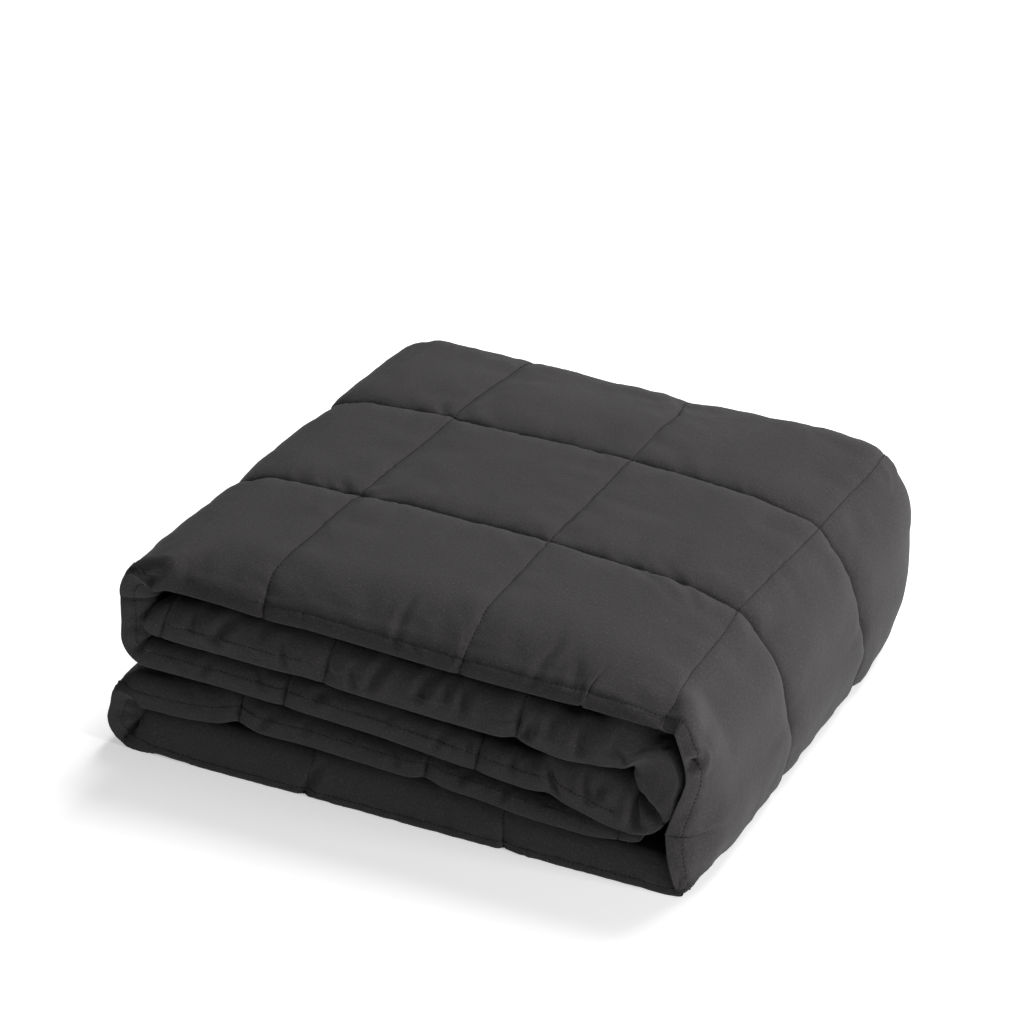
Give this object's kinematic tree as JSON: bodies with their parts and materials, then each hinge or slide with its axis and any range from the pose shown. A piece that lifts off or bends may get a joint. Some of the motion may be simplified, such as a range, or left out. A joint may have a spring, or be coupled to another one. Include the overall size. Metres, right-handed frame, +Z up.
{
  "type": "weighted blanket",
  "caption": "Quilted weighted blanket folded back and forth into a low square bundle, its hemmed edges layered at the front and its fold at the back.",
  "frame": {"origin": "on the surface the bundle lies on, under the middle of its bounding box", "axes": "+X to the right as seen from the front, where the layers show; +Y towards the fold at the back; +Z up"},
  "size_m": [0.4238, 0.391, 0.147],
  "materials": {
    "cloth": "matte plain weave cotton"
  },
  "bodies": {
    "root": {"blanket": "cloth"}
  },
  "joints": []
}
